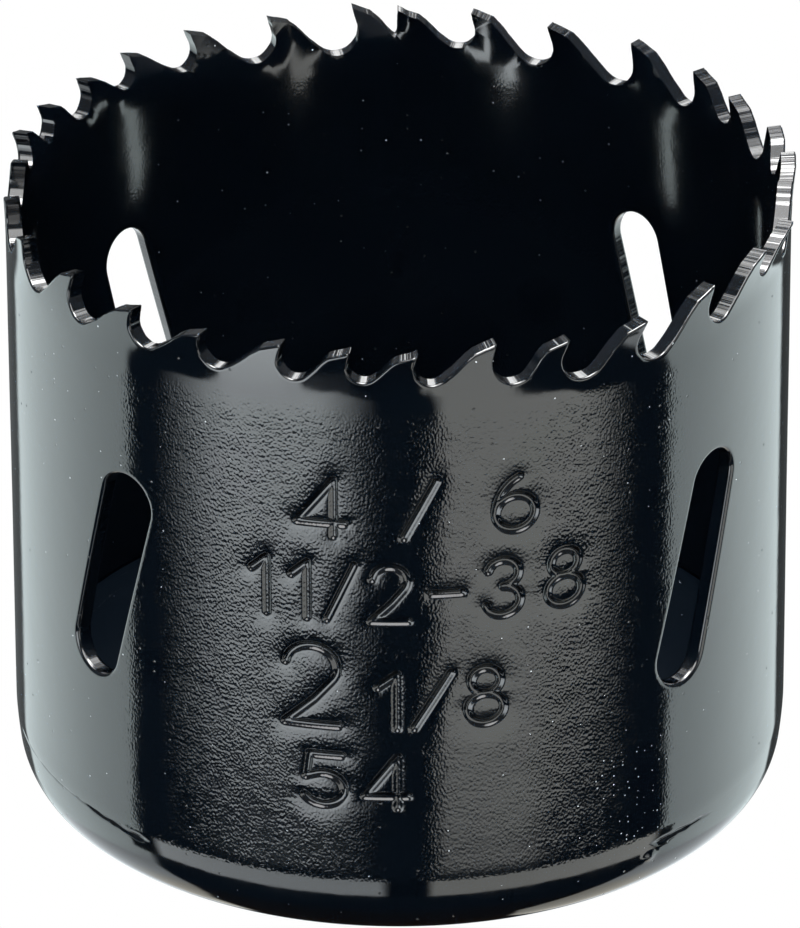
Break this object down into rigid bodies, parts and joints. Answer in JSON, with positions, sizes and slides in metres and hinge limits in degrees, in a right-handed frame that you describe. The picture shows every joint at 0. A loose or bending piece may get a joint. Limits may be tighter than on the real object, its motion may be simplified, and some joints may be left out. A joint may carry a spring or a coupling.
{
  "type": "hole saw",
  "caption": "Painted steel cup with a ring of saw teeth on its rim, slanted slots in the wall and a threaded hole for an arbor in its base.",
  "frame": {"origin": "centre of the cap's flat underside", "axes": "+Z along the axis, from the cap towards the teeth; -Y faces the stamped numbers"},
  "size_m": [0.0534, 0.0539, 0.0443],
  "materials": {
    "paint": "gloss"
  },
  "bodies": {
    "root": {"toothed_shell": "paint", "end_cap": "paint"}
  },
  "joints": []
}
